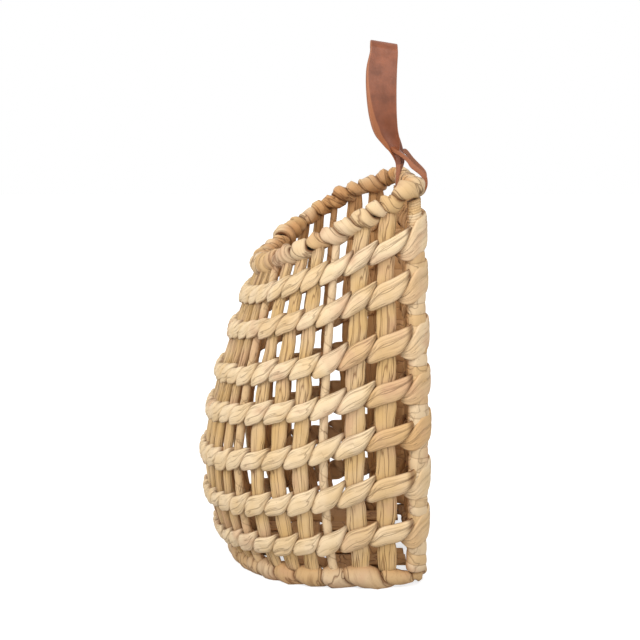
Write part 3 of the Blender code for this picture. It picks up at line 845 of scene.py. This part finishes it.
def strapStations():
    rodZ, rodY = strap["rodHeight"], strap["rodPlace"]
    legs = strap["legs"]
    rows = []  # place, wide vector, half depth, half breadth, cup
    crown = strap["loopTop"] - strap["loopHalf"]
    for angle in (90, 60, 30):
        turn = math.radians(angle)
        place = (strap["loopHalf"] * math.cos(turn), rodY - legs[0][1],
                 rodZ + crown + strap["loopHalf"] * math.sin(turn))
        wide = tuple(unit(np.array([0.0, -1.0, strap["crownTilt"]])))
        rows.append((place, wide, legs[0][2], legs[0][3], 0.0))
    for order, leg in enumerate(legs):
        below, above = legs[min(order + 1, len(legs) - 1)], legs[max(order - 1, 0)]
        run = unit(np.array([0.0, above[1] - below[1], below[0] - above[0]]))
        wide = np.cross(run, np.array([1.0, 0.0, 0.0]))
        rows.append(((leg[4], rodY - leg[1], rodZ + leg[0]), tuple(wide), leg[2], leg[3], leg[5]))
    legX, wrapX, radius = strap["legOffset"], strap["wrapOffset"], strap["hitchRadius"]
    loose = strap["looseRadius"]
    hitch = [
        (180, legX, radius), (215, legX, radius), (250, legX, radius + 1.0),
        (285, legX, radius + 2.0), (320, legX + 0.6, loose), (345, legX + 2.8, loose),
        (370, wrapX - 1.6, loose), (395, wrapX, loose),
    ]
    for angle, x, radius in hitch:
        turn = math.radians(angle)
        wide = (0, math.cos(turn), math.sin(turn))
        depth = strap["hitchDepth"] if radius < loose else strap["looseDepth"]
        place = (x, rodY + radius * math.cos(turn), rodZ + radius * math.sin(turn))
        rows.append((place, wide, depth, strap["hitchBreadth"], 0.0))
    centreFront, centreHeight = strap["bightCentre"]
    for x, front, height in strap["bight"]:
        turn = math.atan2(height - centreHeight, -front + centreFront)
        wide = (0, math.cos(turn), math.sin(turn))
        place = (x, rodY - front, rodZ + height)
        rows.append((place, wide, strap["looseDepth"], strap["hitchBreadth"], 0.0))
    farHeights, farMoves = zip(*reversed(strap["farShift"]))
    mirror = []
    for order, (place, wide, depth, broad, cup) in enumerate(rows[1:-1]):
        y, z = place[1] - rodY, place[2] - rodZ
        if order < len(legs) + 2:
            y += np.interp(z, farHeights, farMoves)
        elif depth == strap["looseDepth"] and y > strap["farLooseFrom"]:
            grow = 1 + strap["farLoose"] * max(z, 0) / strap["farLooseRise"] / math.hypot(y, z)
            y, z = y * grow, z * grow
        place, wide = (-place[0], rodY + y, rodZ + z), (-wide[0], wide[1], wide[2])
        mirror.append((place, wide, depth, broad, cup))
    return rows + list(reversed(mirror))


def smoothLoop(values, fine):
    # periodic curve through the stations
    values = np.array(values, dtype=float)
    before, after, later = [np.roll(values, shift, 0) for shift in (1, -1, -2)]
    out = [curvePoint(before, values, after, later, part) for part in np.arange(fine) / fine]
    return np.stack(out, 1).reshape(-1, *values.shape[1:])


leather = {
    "light": (0.25, 0.073, 0.028), "deep": (0.15, 0.042, 0.0145), "mottleRange": (0.3, 0.7),
    "inner": (0.095, 0.03, 0.015), "innerShare": 0.8,
    "edge": (0.38, 0.135, 0.05), "edgeShare": 0.8,
    "grainScale": 900.0, "grainRange": (0.0, 0.12), "mottleScale": 90.0, "fineScale": 1500.0,
    "roughness": 0.36, "mottleRoughness": 0.18, "specular": 0.45,
    "bump": 0.25, "bumpDepth": 0.0004,
}


def leatherMaterial():
    board = Board("strapLeather")
    look = leather
    spot = board.add("ShaderNodeTexCoord", {}, {}, 3)
    edge = board.value("edge")
    inner = board.value("inner")
    cells = {"Vector": spot, "Scale": look["grainScale"]}
    grain = board.add("ShaderNodeTexVoronoi", {"feature": "DISTANCE_TO_EDGE"}, cells)
    mottle = board.noise(spot, look["mottleScale"], 3.0, 0.6)
    fine = board.noise(spot, look["fineScale"], 2.0, 0.6)
    base = board.blend(board.band(mottle, *look["mottleRange"]), look["light"], look["deep"])
    # painted shade on the strap's inside face and down the middle of its cup
    base = board.blend(inner * look["innerShare"], base, look["inner"])
    # orange band: partly the cut edge's own colour, partly painted light where it widens over the
    # curled flap
    base = board.blend(edge * look["edgeShare"], base, look["edge"])
    board.set("Base Color", base)
    board.set("Roughness", look["roughness"] + look["mottleRoughness"] * mottle)
    height = board.band(grain, *look["grainRange"]) * 0.6 + fine * 0.4
    sockets = {"Strength": look["bump"], "Distance": look["bumpDepth"], "Height": height}
    board.set("Normal", board.add("ShaderNodeBump", {}, sockets))
    board.set("Specular IOR Level", look["specular"])
    return board.material


def makeStrap():
    stations = strapStations()
    fine = strap["fine"]
    place, wide, deep, broad, cup = [smoothLoop(values, fine) for values in zip(*stations)]
    wide = unit(wide)
    run = unit(np.roll(place, -1, 0) - np.roll(place, 1, 0))
    side = unit(np.cross(run, wide))
    count = len(place)

    def shape(u, v):
        index = np.round(u * count).astype(int) % count
        s = circle(v)[1]
        a = 1 - 4 * np.minimum(v, 1 - v)
        b = np.sign(s) * (1 - np.abs(a) ** 16) ** (1 / 16)
        spot = place[index] + (deep[index] * a)[:, None] * wide[index]
        spot = spot + (broad[index] * b - 1.5 * cup[index] * (a * a - 0.4))[:, None] * side[index]
        # the edge band widens over the cupped leg: painted light on the curled flap
        flap = 0.93 - 0.15 * np.clip(cup[index], 0, 3) * (a > 0)
        edge = np.where(deep[index] > broad[index], np.clip((np.abs(a) - flap) / 0.04, 0, 1),
                        np.clip((np.abs(b) - 0.93) / 0.05, 0, 1) * 0.6)
        # painted shade on the inside face and in the cup
        inner = np.clip((b > 0) * 0.7 + 0.35 * np.clip(cup[index] / 3, 0, 1) * (1 - a * a), 0, 1)
        return spot, {"edge": edge, "inner": inner}

    piece = wrapGrid("strapLoop", strap["around"], count, shape, closedAlong=True)
    settle(piece, "strap", leatherMaterial(), ["strap"])


makeStrap()
print("strap ready")


# The wires keep their CAD shape and get a better surface
wire = {"dark": (0.16, 0.16, 0.165), "light": (0.3, 0.29, 0.28), "scuffScale": 260.0}


def wireMaterial():
    board = Board("darkWire")
    spot = board.add("ShaderNodeTexCoord", {}, {}, 3)
    scuff = board.noise(spot, wire["scuffScale"], 3.0, 0.6)
    board.set("Base Color", board.blend(scuff, wire["dark"], wire["light"]))
    board.set("Metallic", 1.0)
    board.set("Roughness", 0.35 + 0.3 * scuff)
    return board.material


wireLook = wireMaterial()
for node in ("rim_wire", "base_wire"):
    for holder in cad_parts[node].material_slots:
        holder.material = wireLook
print("wires ready")


# Floor, light and camera
stage = {
    "halfSize": 6.0, "floorColor": (0.45, 0.45, 0.45), "floorGlow": 0.72, "worldStrength": 0.93,
}
lampAim = (0, -0.08, 0.22)
lamps = {
    "keyLamp": {"place": (1.15, -1.42, 1.5), "size": 0.9, "power": 23.5},
    "fillLamp": {"place": (1.8, 0.3, 0.9), "size": 1.2, "power": 16},
}
camera = {"distance": 1.35, "pitch": 7.76, "lens": 85.24, "target": (0.0, -0.084, 0.2095)}


def makeStage():
    mesh = bpy.data.meshes.new("ground")
    work = bmesh.new()
    bmesh.ops.create_grid(work, x_segments=1, y_segments=1, size=stage["halfSize"])
    work.to_mesh(mesh)
    work.free()
    ground = addObject("ground", mesh)
    board = Board("paleGround")
    board.set("Base Color", stage["floorColor"])
    board.set("Roughness", 0.9)
    path = board.tree.nodes.new("ShaderNodeLightPath")
    seen = Signal(board, path.outputs["Is Camera Ray"])
    glossy = Signal(board, path.outputs["Is Glossy Ray"])
    passing = Signal(board, path.outputs["Is Transmission Ray"])
    board.set("Emission Color", (1.0, 1.0, 1.0))
    board.set("Emission Strength", (seen + glossy + passing) * stage["floorGlow"])
    mesh.materials.append(board.material)
    world = bpy.data.worlds.new("paleRoom")
    world.use_nodes = True
    tree = world.node_tree
    back = tree.nodes["Background"]
    path = tree.nodes.new("ShaderNodeLightPath")
    seen = tree.nodes.new("ShaderNodeMath")
    seen.operation = "MAXIMUM"
    tree.links.new(path.outputs["Is Camera Ray"], seen.inputs[0])
    tree.links.new(path.outputs["Is Transmission Ray"], seen.inputs[1])
    strength = tree.nodes.new("ShaderNodeMapRange")
    strength.inputs[3].default_value = stage["worldStrength"]
    strength.inputs[4].default_value = 1.0
    tree.links.new(seen.outputs[0], strength.inputs[0])
    tree.links.new(strength.outputs[0], back.inputs["Strength"])
    back.inputs["Color"].default_value = (1, 1, 1, 1)
    bpy.context.scene.world = world


def addAimed(name, data, place, target):
    thing = addObject(name, data)
    thing.location = place
    thing.rotation_euler = (Vector(target) - Vector(place)).to_track_quat("-Z", "Y").to_euler()
    return thing


def addLamp(name, place, size, power):
    data = bpy.data.lights.new(name, "AREA")
    data.size = size
    data.energy = power
    addAimed(name, data, place, lampAim)


def makeCamera():
    pitch = math.radians(camera["pitch"])
    target = Vector(camera["target"])
    place = target + camera["distance"] * Vector((math.cos(pitch), 0, math.sin(pitch)))
    data = bpy.data.cameras.new("photoView")
    data.lens = camera["lens"]
    data.sensor_width = 36
    data.clip_start = 0.05
    bpy.context.scene.camera = addAimed("photoView", data, place, target)


makeStage()
for name, lamp in lamps.items():
    addLamp(name, lamp["place"], lamp["size"], lamp["power"])
makeCamera()
scene = bpy.context.scene
scene.view_settings.view_transform = "Standard"
print("stage ready")
